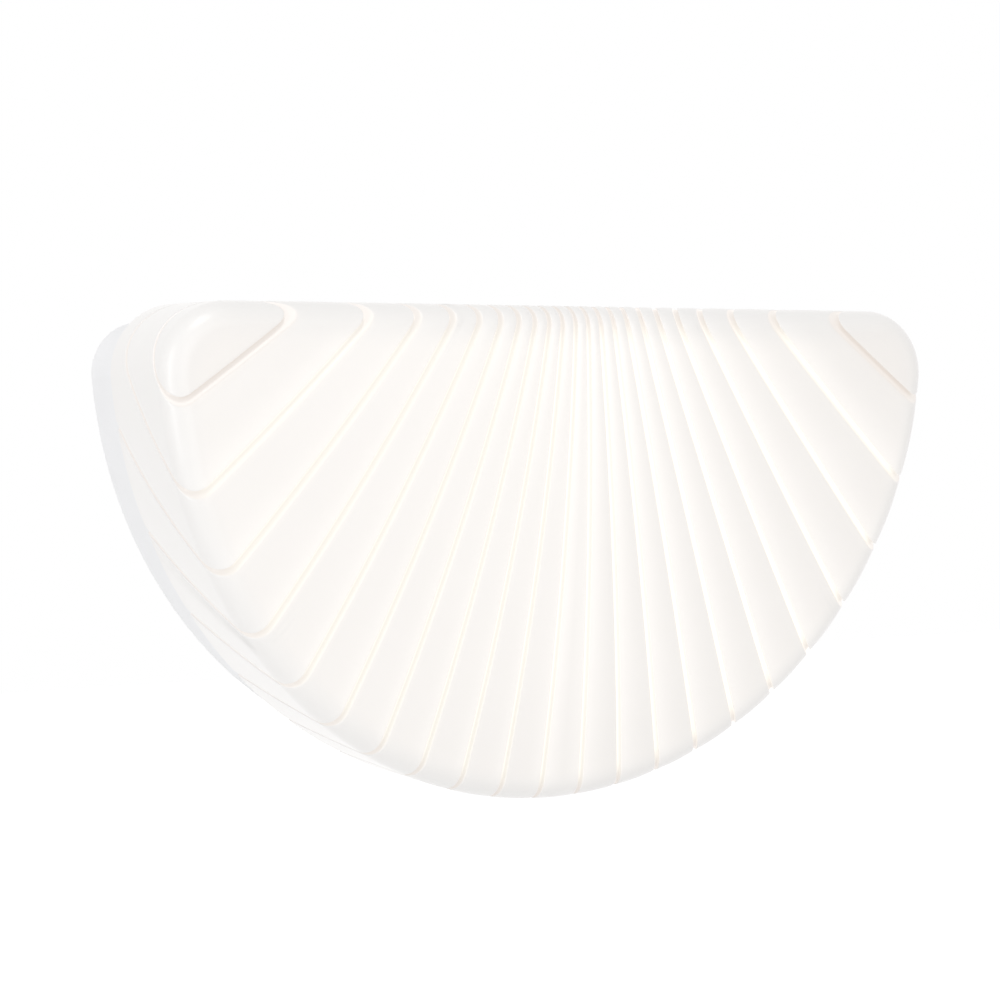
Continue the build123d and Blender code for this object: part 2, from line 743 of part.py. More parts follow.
os.makedirs("parts", exist_ok=True)
for name, maker in makers.items():
    export_step(maker(), f"parts/{name}.step")
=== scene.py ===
import json
import math

import bmesh
import bpy
import numpy as np
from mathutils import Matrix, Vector


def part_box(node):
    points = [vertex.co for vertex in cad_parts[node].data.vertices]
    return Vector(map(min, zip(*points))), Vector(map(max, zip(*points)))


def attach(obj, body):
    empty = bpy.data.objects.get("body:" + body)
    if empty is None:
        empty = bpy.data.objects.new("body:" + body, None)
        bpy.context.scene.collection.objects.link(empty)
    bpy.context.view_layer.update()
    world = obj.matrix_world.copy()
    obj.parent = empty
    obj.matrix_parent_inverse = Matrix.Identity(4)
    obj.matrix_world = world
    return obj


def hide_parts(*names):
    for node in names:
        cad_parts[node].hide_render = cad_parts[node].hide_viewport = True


# Shell wall sconce, lit, on a plain pale stage. Metres, in the part's own frame: the wall is the
# plane y = 0, the light faces -Y, and +Z is up. The shade is remodelled here with soft edges, in
# two pieces: its shell and the posts in which its magnets sit. Every other piece is the part's own
# solid with a finish.

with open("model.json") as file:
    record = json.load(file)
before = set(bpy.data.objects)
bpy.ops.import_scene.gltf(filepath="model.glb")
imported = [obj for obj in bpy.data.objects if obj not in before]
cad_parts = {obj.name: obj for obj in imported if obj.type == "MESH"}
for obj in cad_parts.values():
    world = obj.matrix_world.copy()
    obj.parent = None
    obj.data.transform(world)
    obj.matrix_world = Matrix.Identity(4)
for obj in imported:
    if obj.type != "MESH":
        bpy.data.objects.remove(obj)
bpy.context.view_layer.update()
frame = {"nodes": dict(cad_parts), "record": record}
shade_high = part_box("shade")[1]

# ---- the shade's form, with the part's own sizes ------------------------------------------------
HALF_WIDTH = 0.150            # of the ellipse round the sides and the bottom
BOTTOM_DROP = 0.160           # from that ellipse's middle to the bottom
SHOULDER = 0.0105             # from the flat top down to the ellipse's middle
CORNER = 0.023                # radius of the two upper corners
EDGE = 0.0082                 # radius between the front and the rim
CROWN_WIDTH_RADIUS = 6.3      # how the front is crowned from side to side
CROWN_HEIGHT_RADIUS = 0.912   # and from top to bottom
CROWN_PEAK_DROP = 0.006       # from the top down to the crown's highest line
WALL = 0.005
DEPTH = 0.051                 # from the open back to the crown's highest point
TOP = shade_high.z
BACK = shade_high.y
FRONT = BACK - DEPTH

# ---- its slots, cut by planes that fan out about a leaning spine --------------------------------
SLICES = 23
SLICE_ANGLE = math.radians(6.417)
SPINE_LEAN = math.radians(31.8)
LEAN_Y, LEAN_Z = math.sin(SPINE_LEAN), math.cos(SPINE_LEAN)
SPINE_OUT = 0.0475            # from the front out to the spine, level with the top
SPINE_FOOT = Vector((0, FRONT - SPINE_OUT, TOP))
SLOT_HALF = 0.0008            # half of a slot's width
SLOT_DEPTH = 0.0025
RIM_SLOT_SHARE = 0.28         # share of that depth that a slot keeps where it runs over the rim

# ---- posts that hold the magnets ----------------------------------------------------------------
MAGNET_RADIUS = 0.005
MAGNET_DEPTH = 0.003
MAGNET_ROOM = 0.00005         # between a magnet and its pocket
POST_WALL = 0.0016
POST_DEPTH = 0.007
POST_SINK = 0.002             # how far a post reaches into the shade's wall
POST_LIMIT = 0.00375          # how far below the shade's outside a post has to stay
POST_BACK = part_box("shade_magnets")[1].y
POST_SOFT = 0.0003            # rounding of a post's edges
POST_SIDES = 48
POST_BEND = 4                 # steps in which such an edge is rounded
POST_FACE_RINGS = 3           # rings across the end of a post
POST_STEPS = 20               # steps in which a post is drawn back into the wall
TOP_POST_X = 0.096            # from the middle to an upper post
SIDE_POST_ANGLE = math.radians(56)

# ---- softness that the moulding adds ------------------------------------------------------------
LIP = 0.0004                  # rounding of a slot's edges
FLOOR_ROUND = 0.0004          # rounding at the bottom of a slot
PUFF = 0.00028                # how far a slice falls away from its middle to its edges
OVERRUN = 0.006               # how far the surfaces are made past the open back, before the trim
LIP_STEPS = (0.0, 0.08, 0.25, 0.55, 1.0)      # rings over a lip, as shares of its rounding
WALL_STEPS = (0.35, 0.7)                      # rings down a slot's wall, as shares of it
FLOOR_STEPS = (0.0, 0.1, 0.35, 1.0)           # rings into a slot's floor, as shares of its rounding

# ---- how finely the surfaces are made and looked for --------------------------------------------
RING_POINTS = 300
TRIAL_POINTS = 4 * RING_POINTS      # of a first ring, from which the final points are spread
SLICE_RINGS = 8
CAP_RINGS = 16
INNER_RINGS = 90
LIP_HOLD = 0.015              # a slice's first ring beyond a slot's lip, as a share of the slice
CAP_HOLD = 0.35               # keeps a cap's last ring off its pole, as a share of a ring's step
POLE_HOLD = 0.992             # the same for the inside, as a share of the quarter turn
BEND_SHARE = 0.9              # how much a ring's points gather where it bends
EVEN_OUT = 6                  # how far along a ring that gathering is evened out
SHARP_ANGLE = math.radians(35)
GRID = 48                     # points each way in which a section's middle is looked for
CLOSE_INS = 4                 # how often that search closes in
CLOSE_IN_MARGIN = 1.5         # cells that it keeps round what it found
SEARCH_LOW = (-0.25, 0.0)     # where it starts: along the spine, and away from it
SEARCH_HIGH = (0.05, 0.25)
FARTHEST = 0.5                # no surface lies farther from a section's middle
RAY_HALVINGS = 28             # steps in which a surface is found along a ray
POLE_HALVINGS = 30            # steps in which the last plane of the fan is found
JOIN_HALVINGS = 50            # steps in which a corner's place is found
TINY = 1e-9                   # keeps divisors above zero

# ---- the lit shade: shares of the recorded colour, glows and tints ------------------------------
SKIN = 0.6                    # share of the colour that reflects; the rest is given off
SHADED_SLOT_SKIN = 0.35              # the same in a slot, lower there as painted shade in the recess
FACE_GLOW = (0.27, 0.323)     # each pair: where the lamps hardly reach, and where they light fully
SPREAD_GLOW = 0.12            # what a slot adds to the face beside it
SPREAD = 0.005                # how far that reaches
WALL_GLOW = (0.525, 0.605)
# where the lamps hardly reach, a slot's floor glows a little less than its wall, and in a warmer
# tint: painted shade at its foot
FLOOR_GLOW = (0.50, 0.75)
LOW_SHARE = 0.84              # share of the glow that is left at the shade's foot
FACE_TINT = (1.0, 0.97, 0.96), (1.0, 0.935, 0.885)
WALL_TINT = (1.0, 0.92, 0.86), (1.0, 0.95, 0.86)
FLOOR_TINT = (1.0, 0.90, 0.82), (1.0, 0.98, 0.90)
RIM_FADE = 0.011              # how far in from the outline the lamps light the shade fully
TOP_FADE = 0.016              # the same below the flat top
TOP_FADE_REACH = 3            # how far down that holds, in its own width
CAP_FADE = (1.8, 1.1)         # slices before the fan's end between which the lamps' light fades
WALL_DEPTH = (0.06, 0.22)     # shares of a slot's depth over which its wall's look sets in
FLOOR_DEPTH = (0.65, 1.0)     # and its floor's
LOW_REACH = (-0.165, -0.04)   # heights between which the glow gets dimmer
OPAL_CLOUD = 0.03             # size of the faint clouds in its colour
OPAL_CLOUD_SHARE = 0.99       # share of the colour that is left in them
OPAL_GLOSS_CLOUD = 0.01       # size of the clouds in its gloss
OPAL_ROUGHNESS = (0.30, 0.33)

# ---- lamp chips and the other finishes ----------------------------------------------------------
LAMP_SPECKLE = 0.0003         # size of the phosphor's speckles
LAMP_DARKER = 0.9             # share of the colour that is left in them
LAMP_TINT = (1.0, 0.80, 0.50), (1.0, 0.88, 0.66)
LAMP_ROUGHNESS = 0.3
LAMP_GLOW = 2.5
CLOUD = 0.02                  # size of the clouds in a finish's colour
NOISE_SOFTNESS = 0.55
NOISE_SPAN = (0.3, 0.7)       # noise values between which a colour changes
GLOSS_SPAN = (0.2, 0.8)       # and a gloss
GLOSS_CHANGE = 0.15           # share by which a finish's roughness rises and falls
FINISHES = {
    "white_paint": dict(rough=0.42, grain=0.0007, bump=0.05, mottle=0.008),
    "zinc_steel": dict(rough=0.34, grain=0.0015, bump=0.03, mottle=0.10, metal=1.0,
                       stretch=(0.15, 1, 1)),
    "bright_steel": dict(rough=0.2, grain=0.0008, bump=0.01, mottle=0.04, metal=1.0),
    "green_steel": dict(rough=0.3, grain=0.0008, bump=0.02, mottle=0.10, metal=0.8),
    "brass": dict(rough=0.28, grain=0.0008, bump=0.02, mottle=0.08, metal=1.0),
    "board_white": dict(rough=0.3, grain=0.002, bump=0.02, mottle=0.015),
    "grey_pad": dict(rough=0.8, grain=0.001, bump=0.1, mottle=0.05),
    "white_nylon": dict(rough=0.45, grain=0.0008, bump=0.03, mottle=0.03),
    "driver_plastic": dict(rough=0.55, grain=0.0005, bump=0.12, mottle=0.02),
    "black_rubber": dict(rough=0.7, grain=0.0006, bump=0.08, mottle=0.1),
}
OTHER_FINISH = dict(rough=0.4, grain=0.0009, bump=0.03, mottle=0.05)

# ---- camera and light ---------------------------------------------------------------------------
CAMERA_PLACE = (-0.43504, -0.80661, 0.04427)
CAMERA_AIM = (-0.01816, -0.0595, 0.00350)
CAMERA_FOCAL = 2.4871         # focal length as a share of the picture's width
CAMERA_SENSOR = 36            # millimetres
CAMERA_NEAR = 0.01
WORLD_LIGHT = 0.635
LIGHTS = {                    # place, width and height, power; each one is turned to the origin
    "left_light": ((-1.4, -0.45, 0.15), (0.3, 1.2), 4.5),
    "front_light": ((-0.2, -1.5, 0.3), (1.2, 1.2), 5),
    "top_light": ((-0.5, -0.8, 1.4), (0.6, 0.6), 5),
}
WHITE = (1, 1, 1, 1)
FLOOR_SIZE = 3.0              # from the floor's middle to its edge
FLOOR_LEVEL = -0.45
FLOOR_COLOUR = (0.9, 0.9, 0.9, 1)
FLOOR_ROUGHNESS = 0.8
FLOOR_LIFT = 0.5              # what the camera sees of the floor beyond the light that falls on it


def corner_join():
    """Centre of the right corner's arc, and the direction in which it meets the ellipse."""
    widest = TOP - SHOULDER
    low, high = -math.pi / 2, 0.0
    for _ in range(JOIN_HALVINGS):
        turn = (low + high) / 2
        nx, nz = math.cos(turn) / HALF_WIDTH, math.sin(turn) / BOTTOM_DROP
        nx, nz = nx / math.hypot(nx, nz), nz / math.hypot(nx, nz)
        if widest + BOTTOM_DROP * math.sin(turn) - CORNER * nz > TOP - CORNER:
            high = turn
        else:
            low = turn
    return HALF_WIDTH * math.cos(turn) - CORNER * nx, TOP - CORNER, nx, nz


CORNER_X, CORNER_Z, JOIN_X, JOIN_Z = corner_join()


def outline(x, z):
    """Distance outside the half-moon outline, and the outline's normal there."""
    side, u, v = np.sign(x), np.abs(x) - CORNER_X, z - CORNER_Z
    reach = np.maximum(np.hypot(u, v), TINY)
    in_corner = (u > 0) & (JOIN_X * v - JOIN_Z * u > 0)
    down = z - (TOP - SHOULDER)
    level = np.maximum(np.hypot(x / HALF_WIDTH, down / BOTTOM_DROP), TINY)
    gx, gz = x / HALF_WIDTH ** 2 / level, down / BOTTOM_DROP ** 2 / level
    slope = np.maximum(np.hypot(gx, gz), TINY)
    curved, flat = (level - 1) / slope, z - TOP
    on_top = flat > curved
    distance = np.where(in_corner, reach - CORNER, np.where(on_top, flat, curved))
    nx = np.where(in_corner, side * u / reach, np.where(on_top, 0, gx / slope))
    nz = np.where(in_corner, v / reach, np.where(on_top, 1, gz / slope))
    return distance, nx, nz


def form(x, y, z, inset=0.0, rim_inset=0.0):
    """Distance outside the shade's form, drawn in from its crowned front by inset and from its
    outline by rim_inset. A round edge joins the two."""
    rim, nx, nz = outline(x, z)
    root_y, root_z = FRONT + CROWN_HEIGHT_RADIUS, TOP - CROWN_PEAK_DROP
    spread = np.hypot(root_y - y, z - root_z)
    front = spread - CROWN_HEIGHT_RADIUS + x ** 2 / (2 * CROWN_WIDTH_RADIUS) + inset
    rim = rim + rim_inset
    radius = EDGE - (inset + rim_inset) / 2
    tilt = nx * x / CROWN_WIDTH_RADIUS + nz * (z - root_z) / CROWN_HEIGHT_RADIUS
    a, b = rim + radius, front + radius
    in_edge = (a - b * tilt > 0) & (b - a * tilt > 0)
    edge = np.sqrt(np.maximum(a * a + b * b - 2 * a * b * tilt, 0) / (1 - tilt ** 2)) - radius
    return np.where(in_edge, edge, np.maximum(rim, front))


def lip(depth, radius):
    """How far a rounded edge stands back at a depth below it."""
    e = np.clip(radius - depth, 0, radius)
    return radius - np.sqrt(radius ** 2 - e ** 2)


def fan_axes(angle):
    """Along the spine, square to the plane at that angle, and away from the spine in it."""
    square = np.stack((np.cos(angle), -LEAN_Z * np.sin(angle), LEAN_Y * np.sin(angle)), -1)
    inward = np.stack((np.sin(angle), LEAN_Z * np.cos(angle), -LEAN_Y * np.cos(angle)), -1)
    return np.array((0, LEAN_Y, LEAN_Z)), square, inward


def excess(points, inset, rim_inset):
    """Distance outside the inset form, made a little longer than the shade at the open back."""
    x, y, z = points[..., 0], points[..., 1], points[..., 2]
    return np.maximum(form(x, y, z, inset, rim_inset), y - BACK - OVERRUN)


def section_middle(angle, inset):
    """Middle of the section of the inset form by a plane of the fan, and its depth there."""
    along, _, inward = fan_axes(angle)
    low, high = np.array(SEARCH_LOW), np.array(SEARCH_HIGH)
    for _ in range(CLOSE_INS):
        u, v = (np.linspace(low[k], high[k], GRID) for k in range(2))
        cell = (high - low) / GRID
        grid = np.array(SPINE_FOOT) + u[:, None, None] * along + v[None, :, None] * inward
        depth = excess(grid, inset, inset)
        iu, iv = np.nonzero(depth < 0)
        if not len(iu):
            iu, iv = (np.array([i]) for i in np.unravel_index(depth.argmin(), depth.shape))
        low = np.array((u[iu.min()], v[iv.min()])) - CLOSE_IN_MARGIN * cell
        high = np.array((u[iu.max()], v[iv.max()])) + CLOSE_IN_MARGIN * cell
    return np.array(SPINE_FOOT) + u[iu].mean() * along + v[iv].mean() * inward, depth.min()


def pole_angle(inset):
    """Angle of the last plane of the fan that still cuts the form."""
    low, high = (SLICES // 2 - 1) * SLICE_ANGLE, math.pi / 2
    for _ in range(POLE_HALVINGS):
        middle = (low + high) / 2
        if section_middle(middle, inset)[1] < 0:
            low = middle
        else:
            high = middle
    return low


def centroid(loops, inner):
    """Middle of the area inside each loop of points, from a point inside it."""
    spokes = loops - inner[:, None]
    share = np.linalg.norm(np.cross(spokes[:, :-1], spokes[:, 1:]), axis=-1)
    share /= share.sum(1, keepdims=True)
    return inner + (share[..., None] * (spokes[:, :-1] + spokes[:, 1:]) / 3).sum(1)


def fan_surface(rings, rim_share):
    """Grid of points on a closed surface: one ring for each (angle, offset, inset), where a plane
    of the fan, moved sideways by the offset, cuts the inset form; from the outline the form is
    drawn in by rim_share of the inset. Rings of one angle get their points in the same
    directions, spread by run and by bend, so that the grid stays even."""
    angle, offset, inset = (np.array(column) for column in zip(*rings))
    along, square, inward = fan_axes(angle)
    outer = inset.min()
    middles = {turn: section_middle(turn, outer)[0] for turn in set(angle)}
    rough = np.stack([middles[turn] for turn in angle])

    def met(turn, centre, inset):
        """Where rays in these directions from the centres meet the inset form."""
        ray = np.cos(turn)[..., None] * along + np.sin(turn)[..., None] * inward[:, None]
        low, high = np.zeros_like(turn), np.full_like(turn, FARTHEST)
        for _ in range(RAY_HALVINGS):
            middle = (low + high) / 2
            reach = centre[:, None] + middle[..., None] * ray
            inside = excess(reach, inset, inset * rim_share) < 0
            low, high = np.where(inside, middle, low), np.where(inside, high, middle)
        return centre[:, None] + low[..., None] * ray

    coarse = np.linspace(0, 2 * math.pi, TRIAL_POINTS + 1)
    coarse_turns = np.tile(coarse, (len(rings), 1))
    centre = centroid(met(coarse_turns, rough, outer), rough)
    points = met(coarse_turns, centre, outer)
    run = np.linalg.norm(np.diff(points, axis=1), axis=-1)
    heading = np.diff(points, axis=1) / np.maximum(run, TINY)[..., None]
    bend = np.arccos(np.clip((heading * np.roll(heading, 1, axis=1)).sum(-1), -1, 1))
    weight = run / run.sum(1, keepdims=True) + BEND_SHARE * bend / bend.sum(1, keepdims=True)
    weight = sum(np.roll(weight, k, axis=1) for k in range(-EVEN_OUT, EVEN_OUT + 1))
    total = np.cumsum(np.pad(weight, ((0, 0), (1, 0))), 1)
    share = np.arange(RING_POINTS) / RING_POINTS
    turn = np.stack([np.interp(share * row[-1], row, coarse) for row in total])
    return met(turn, centre + offset[:, None] * square, inset[:, None])


def ribbed_rings():
    """Rings of the ribbed outside from the left pole to the right one."""
    lips = [(step, lip(step, LIP)) for step in np.array(LIP_STEPS) * LIP]
    floor = [(step, SLOT_DEPTH - lip(step, FLOOR_ROUND))
             for step in np.array(FLOOR_STEPS) * FLOOR_ROUND]
    wall_top, wall_foot = PUFF + LIP, SLOT_DEPTH - FLOOR_ROUND
    pole = pole_angle(PUFF)
    slots = [(k + 0.5) * SLICE_ANGLE for k in range(SLICES // 2)]
    edge = SLOT_HALF + LIP
    right = []

    def slot(angle):
        half = [(SLOT_HALF + step, PUFF + drop) for step, drop in reversed(lips)]
        half += [(SLOT_HALF, wall_top + (wall_foot - wall_top) * t) for t in WALL_STEPS]
        half += [(SLOT_HALF - step, drop) for step, drop in floor]
        return ([(angle, -reach, inset) for reach, inset in half]
                + [(angle, reach, inset) for reach, inset in reversed(half)])

    def slice_rings(low, high):
        made = []
        inner = (k / SLICE_RINGS for k in range(1, SLICE_RINGS))
        for t in (LIP_HOLD, *inner, 1 - LIP_HOLD):
            puff = PUFF * (2 * t - 1) ** 2
            made.append((low + (high - low) * t, edge * (1 - 2 * t), puff))
        return made

    half_centre = slice_rings(-slots[0], slots[0])
    for angle, following in zip(slots, slots[1:]):
        right += slot(angle) + slice_rings(angle, following)
    right += slot(slots[-1])
    for k in range(1, CAP_RINGS + 1):
        t = math.sin(math.pi / 2 * k / (CAP_RINGS + CAP_HOLD))
        right.append((slots[-1] + (pole - slots[-1]) * t, edge * (1 - t), PUFF))
    left = [(-angle, -offset, inset) for angle, offset, inset in reversed(right)]
    return left + half_centre + right


def smooth_rings():
    """Rings of the plain inside from the left pole to the right one."""
    pole = pole_angle(WALL)
    turns = np.sin(np.linspace(-1, 1, INNER_RINGS) * math.pi / 2 * POLE_HOLD)
    return [(pole * turn, 0.0, WALL) for turn in turns]


def add_grid(mesh, points):
    """Faces of a grid of rings, closed with a fan of triangles at both ends."""
    rows = [[mesh.verts.new(p) for p in ring] for ring in points]
    for row, following in zip(rows, rows[1:]):
        for k in range(len(row)):
            mesh.faces.new((row[k - 1], row[k], following[k], following[k - 1]))
    for row in (rows[0], rows[-1]):
        pole = mesh.verts.new(sum((v.co for v in row), Vector()) / len(row))
        for k in range(len(row)):
            mesh.faces.new((row[k - 1], row[k], pole))


def trimmed_back(points):
    """The grid's mesh, cut off at the plane of the open back."""
    mesh = bmesh.new()
    add_grid(mesh, points)
    everything = mesh.verts[:] + mesh.edges[:] + mesh.faces[:]
    bmesh.ops.bisect_plane(mesh, geom=everything, plane_co=(0, BACK, 0), plane_no=(0, 1, 0),
                           clear_outer=True)
    return mesh


def soften(mesh):
    """Smooth shading, apart from the sharp edges."""
    for face in mesh.faces:
        face.smooth = True
    for edge in mesh.edges:
        edge.smooth = edge.is_manifold and edge.calc_face_angle(0) < SHARP_ANGLE


def new_piece(name, mesh, body):
    """A piece of the object from a bmesh, riding on a body."""
    data = bpy.data.meshes.new(name)
    mesh.to_mesh(data)
    mesh.free()
    piece = bpy.data.objects.new(name, data)
    bpy.context.scene.collection.objects.link(piece)
    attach(piece, body)
    return piece


def smooth_step(value, low, high):
    """0 below low, 1 above high, and a soft change between them."""
    t = np.clip((value - low) / (high - low), 0, 1)
    return t * t * (3 - 2 * t)


def in_front(x, z):
    """1 on the shade's front, falling to 0 at the rim, and sooner below the flat top."""
    high_up = smooth_step(z, TOP - TOP_FADE_REACH * TOP_FADE, TOP - TOP_FADE)
    reach = RIM_FADE + (TOP_FADE - RIM_FADE) * high_up
    return smooth_step(-outline(x, z)[0] / reach, 0, 1)


def between_caps(x, y, z):
    """1 where the lamps stand behind the shade, falling to 0 before the slots of the two caps."""
    _, _, inward = fan_axes(np.zeros(1))
    out = (np.stack((x, y, z), -1) - np.array(SPINE_FOOT)) @ inward[0]
    slices = np.abs(np.arctan2(x, out)) / SLICE_ANGLE
    return 1 - smooth_step(slices, *(SLICES / 2 - before for before in CAP_FADE))


def make_shade():
    """Ribbed shell with soft slot edges, closed to a solid wall at its back rim."""
    mesh = trimmed_back(fan_surface(ribbed_rings(), RIM_SLOT_SHARE))
    inside = trimmed_back(fan_surface(smooth_rings(), 1.0))
    data = bpy.data.meshes.new("inside")
    inside.to_mesh(data)
    inside.free()
    mesh.from_mesh(data)
    bpy.data.meshes.remove(data)
    rims = [e for e in mesh.edges if e.is_boundary]
    bmesh.ops.triangle_fill(mesh, edges=rims, use_beauty=True, normal=(0, 1, 0))
    bmesh.ops.recalc_face_normals(mesh, faces=mesh.faces[:])
    soften(mesh)
    shade = new_piece("shade_shell", mesh, "shade")
    places = np.empty(len(shade.data.vertices) * 3)
    shade.data.vertices.foreach_get("co", places)
    x, y, z = places.reshape(-1, 3).T
    front = in_front(x, z)
    painted = {"depth": np.clip(-form(x, y, z) / SLOT_DEPTH, 0, 1), "front": front,
               "lit": front * between_caps(x, y, z)}
    for name, values in painted.items():
        layer = shade.data.attributes.new(name, "FLOAT", "POINT")
        layer.data.foreach_set("value", values)
    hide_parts("shade")
    return shade


def post_places():
    """Middle of each magnet's post, beside the inside of the shade's wall."""
    inside = WALL + MAGNET_RADIUS + POST_WALL - POST_SINK
    side_x = (HALF_WIDTH - inside) * math.cos(SIDE_POST_ANGLE)
    side_z = TOP - SHOULDER - (BOTTOM_DROP - inside) * math.sin(SIDE_POST_ANGLE)
    places = (TOP_POST_X, TOP - inside), (side_x, side_z)
    return [(sign * x, z) for x, z in places for sign in (-1, 1)]


def post_profile():
    """Half section of a post: radius, and depth in front of the magnet's back."""
    outer, inner = MAGNET_RADIUS + POST_WALL, MAGNET_RADIUS + MAGNET_ROOM
    turns = [math.pi / 2 * k / POST_BEND for k in range(POST_BEND + 1)]
    bend = [(POST_SOFT * (1 - math.cos(a)), POST_SOFT * (1 - math.sin(a))) for a in turns]
    pocket = [(inner * k / POST_FACE_RINGS, MAGNET_DEPTH) for k in range(1, POST_FACE_RINGS + 1)]
    rim = [(inner + across, down) for across, down in bend]
    rim += [(outer - down, across) for across, down in bend]
    end = [(outer - across, POST_DEPTH - down) for across, down in bend]
    face = [(outer * k / POST_FACE_RINGS, POST_DEPTH) for k in range(POST_FACE_RINGS - 1, 0, -1)]
    return pocket + rim + end + face


def make_posts():
    """The four posts of the magnets, kept inside the shade's wall where they run into it."""
    mesh = bmesh.new()
    profile = post_profile()
    for x, z in post_places():
        rings = []
        for radius, depth in profile:
            turns = np.arange(POST_SIDES) * 2 * math.pi / POST_SIDES
            reach = np.full(POST_SIDES, radius)
            y = POST_BACK - depth
            for _ in range(POST_STEPS):
                over = form(x + reach * np.cos(turns), y, z + reach * np.sin(turns)) + POST_LIMIT
                reach -= np.maximum(over, 0)
            rings.append([(x + r * math.cos(a), y, z + r * math.sin(a))
                          for r, a in zip(reach, turns)])
        add_grid(mesh, rings)
    bmesh.ops.recalc_face_normals(mesh, faces=mesh.faces[:])
    soften(mesh)
    return new_piece("shade_magnet_posts", mesh, "shade")


# ---- materials ----------------------------------------------------------------------------------
def new_material(name):
    """A new material, its node tree and its shader."""
    made = bpy.data.materials.new(name)
    made.use_nodes = True
    return made, made.node_tree, made.node_tree.nodes["Principled BSDF"]


def node(tree, kind, settings=(), **sockets):
    """A shader node with settings, and sockets set to values or linked."""
    made = tree.nodes.new("ShaderNode" + kind)
    for key, value in dict(settings).items():
        setattr(made, key, value)
    for key, value in sockets.items():
        feed(tree, made.inputs[key.replace("_", " ")], value)
    return made


def feed(tree, socket, value):
    """Links a socket to another one, or sets its value."""
    if isinstance(value, bpy.types.NodeSocket):
        tree.links.new(value, socket)
    else:
        socket.default_value = value


def blend(tree, factor, first, second):
    """A number between two, by a factor."""
    made = tree.nodes.new("ShaderNodeMix")
    for socket, value in zip(made.inputs, (factor, None, first, second)):
        if value is not None:
            feed(tree, socket, value)
    return made.outputs[0]


def blend_colours(tree, factor, first, second):
    """A colour between two, by a factor."""
    made = tree.nodes.new("ShaderNodeMix")
    made.data_type = "RGBA"
    feed(tree, made.inputs["Factor"], factor)
    for socket, colour in ((made.inputs[6], first), (made.inputs[7], second)):
        feed(tree, socket, colour if isinstance(colour, bpy.types.NodeSocket) else (*colour, 1))
    return made.outputs[2]


def noise(tree, size, detail=3.0, stretch=(1, 1, 1)):
    """Noise whose features are about size metres, fixed to the piece."""
    place = node(tree, "TexCoord").outputs["Object"]
    scaled = node(tree, "Mapping", Vector=place, Scale=[s / size for s in stretch])
    return node(tree, "TexNoise", Vector=scaled.outputs[0], Scale=1.0, Detail=detail,
                Roughness=NOISE_SOFTNESS).outputs["Fac"]


def ramp(tree, value, low, high, out_low=0.0, out_high=1.0):
    """A soft change from out_low to out_high while the value goes from low to high."""
    made = node(tree, "MapRange", {"interpolation_type": "SMOOTHSTEP"}, Value=value)
    for key, number in (("From Min", low), ("From Max", high), ("To Min", out_low),
                        ("To Max", out_high)):
        made.inputs[key].default_value = number
    return made.outputs["Result"]


def surface(name, colour, rough, grain, bump, mottle, metal=0.0, stretch=(1, 1, 1)):
    """Plastic, paint, rubber or metal: a slightly mottled colour, uneven gloss and fine grain."""
    made, tree, shader = new_material(name)
    cloudy = ramp(tree, noise(tree, CLOUD), *NOISE_SPAN)
    fine = noise(tree, grain, 2.0, stretch)
    darker = [c * (1 - mottle) for c in colour]
    lighter = [min(c * (1 + mottle), 1) for c in colour]
    feed(tree, shader.inputs["Base Color"], blend_colours(tree, cloudy, darker, lighter))
    feed(tree, shader.inputs["Roughness"],
         ramp(tree, fine, *GLOSS_SPAN, rough * (1 - GLOSS_CHANGE), rough * (1 + GLOSS_CHANGE)))
    shader.inputs["Metallic"].default_value = metal
    relief = node(tree, "Bump", Height=fine, Strength=bump, Distance=grain)
    feed(tree, shader.inputs["Normal"], relief.outputs[0])
    return made


def lamp_surface(name, colour):
    """Phosphor over a lamp chip, lit."""
    made, tree, shader = new_material(name)
    speckle = ramp(tree, noise(tree, LAMP_SPECKLE), *NOISE_SPAN)
    feed(tree, shader.inputs["Base Color"],
         blend_colours(tree, speckle, [c * LAMP_DARKER for c in colour], colour))
    shader.inputs["Roughness"].default_value = LAMP_ROUGHNESS
    feed(tree, shader.inputs["Emission Color"], blend_colours(tree, speckle, *LAMP_TINT))
    shader.inputs["Emission Strength"].default_value = LAMP_GLOW
    return made


def math_node(tree, operation, *values):
    """The outcome of one step of arithmetic."""
    made = tree.nodes.new("ShaderNodeMath")
    made.operation = operation
    for socket, value in zip(made.inputs, values):
        feed(tree, socket, value)
    return made.outputs[0]


def beyond_slot(tree, split):
    """Distance in metres out from the nearest slot on the side towards the shade's middle."""
    deep = math_node(tree, "MULTIPLY", split.outputs["Y"], LEAN_Z)
    high = math_node(tree, "MULTIPLY_ADD", split.outputs["Z"], -LEAN_Y, deep)
    inward = math_node(tree, "SUBTRACT", high, SPINE_FOOT.y * LEAN_Z - SPINE_FOOT.z * LEAN_Y)
    turn = math_node(tree, "ABSOLUTE", math_node(tree, "ARCTAN2", split.outputs["X"], inward))
    slices = math_node(tree, "SUBTRACT", math_node(tree, "DIVIDE", turn, SLICE_ANGLE), 0.5)
    part = math_node(tree, "FRACT", math_node(tree, "ABSOLUTE", slices))
    squares = math_node(tree, "MULTIPLY", split.outputs["X"], split.outputs["X"])
    reach = math_node(tree, "SQRT", math_node(tree, "MULTIPLY_ADD", inward, inward, squares))
    return math_node(tree, "MULTIPLY", part, math_node(tree, "MULTIPLY", reach, SLICE_ANGLE))


